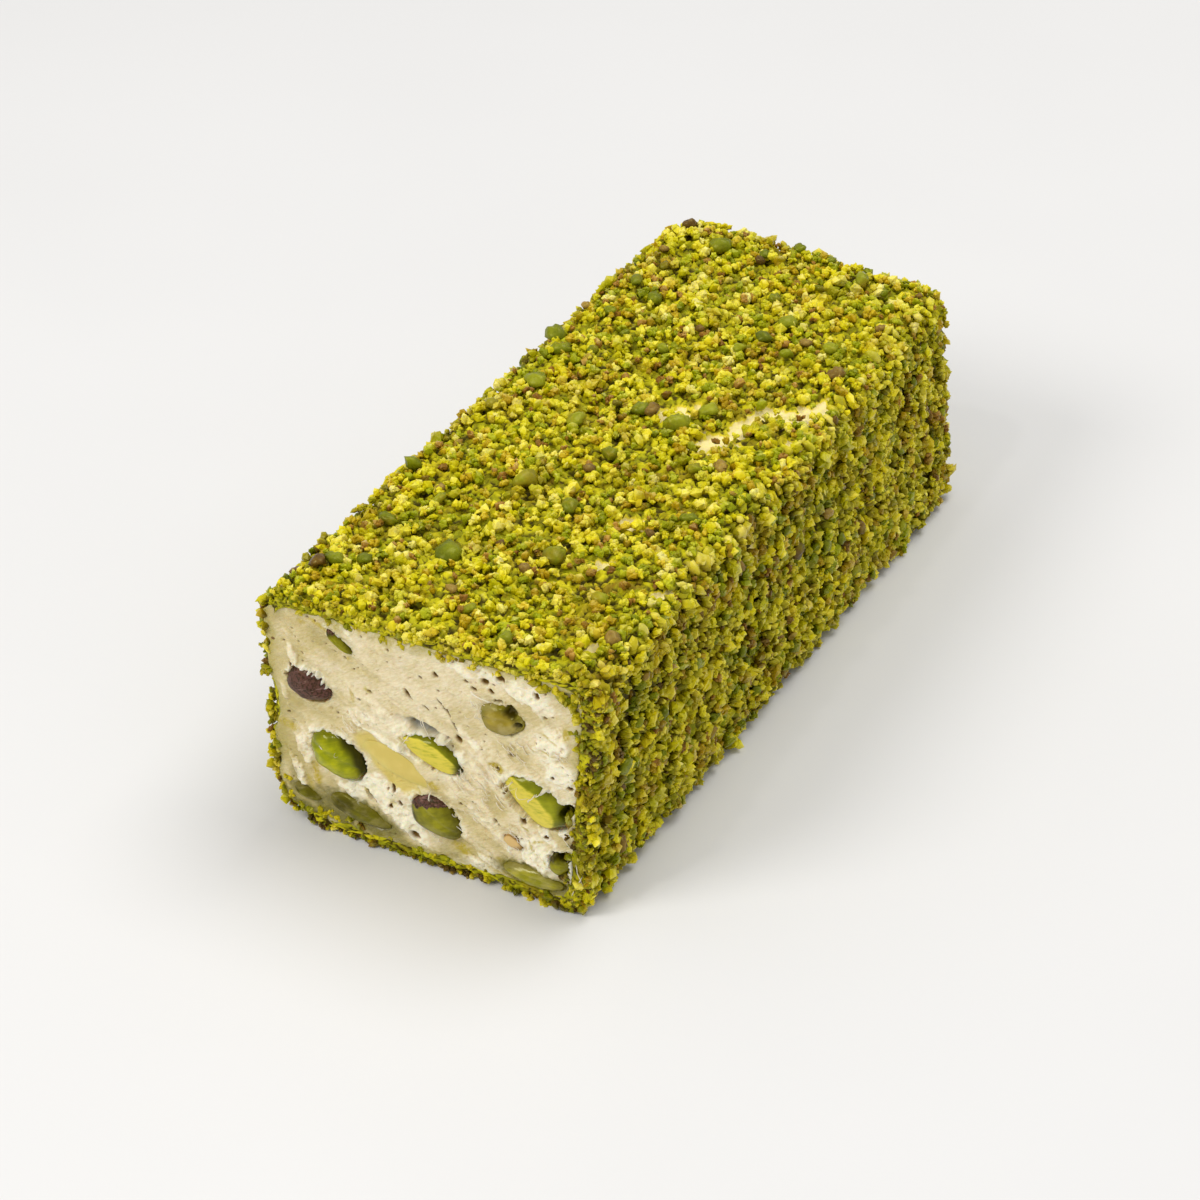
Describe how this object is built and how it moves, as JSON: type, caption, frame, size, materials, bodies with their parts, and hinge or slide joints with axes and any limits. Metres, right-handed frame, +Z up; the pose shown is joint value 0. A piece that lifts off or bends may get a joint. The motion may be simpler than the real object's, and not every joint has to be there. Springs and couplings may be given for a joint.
{
  "type": "turkish delight",
  "caption": "Bar of white nougat Turkish delight rolled in chopped pistachio, cut across at one end to show whole pistachio kernels.",
  "frame": {"origin": "under the middle of the bar, on the flat face that it lies on", "axes": "+Z up, +Y along the bar from the cut end to the coated end, +X to the right as seen facing the cut"},
  "size_m": [0.048, 0.112, 0.0365],
  "materials": {
    "nougat": "moist, slightly sticky aerated nougat",
    "chopped_pistachio": "dry chopped pistachio crumbs",
    "green_nut": "smooth oily kernel",
    "cut_nut": "freshly cut kernel",
    "veiled_nut": "kernel under a thin film of nougat",
    "pale_nut": "smooth pale kernel",
    "nut_skin": "dry wrinkled nut skin"
  },
  "bodies": {
    "root": {"nougat": "nougat", "pistachio_coat": "chopped_pistachio", "purple_kernel": "nut_skin", "sliver_kernel": "veiled_nut", "olive_kernel": "veiled_nut", "green_kernel": "green_nut", "pale_kernel": "pale_nut", "split_kernel": "cut_nut", "skinned_kernel": "green_nut", "large_kernel": "cut_nut", "small_kernel": "green_nut", "right_foot_kernel": "veiled_nut", "left_foot_kernel": "veiled_nut", "streak_kernel": "veiled_nut", "blush_kernel": "nut_skin"}
  },
  "joints": []
}
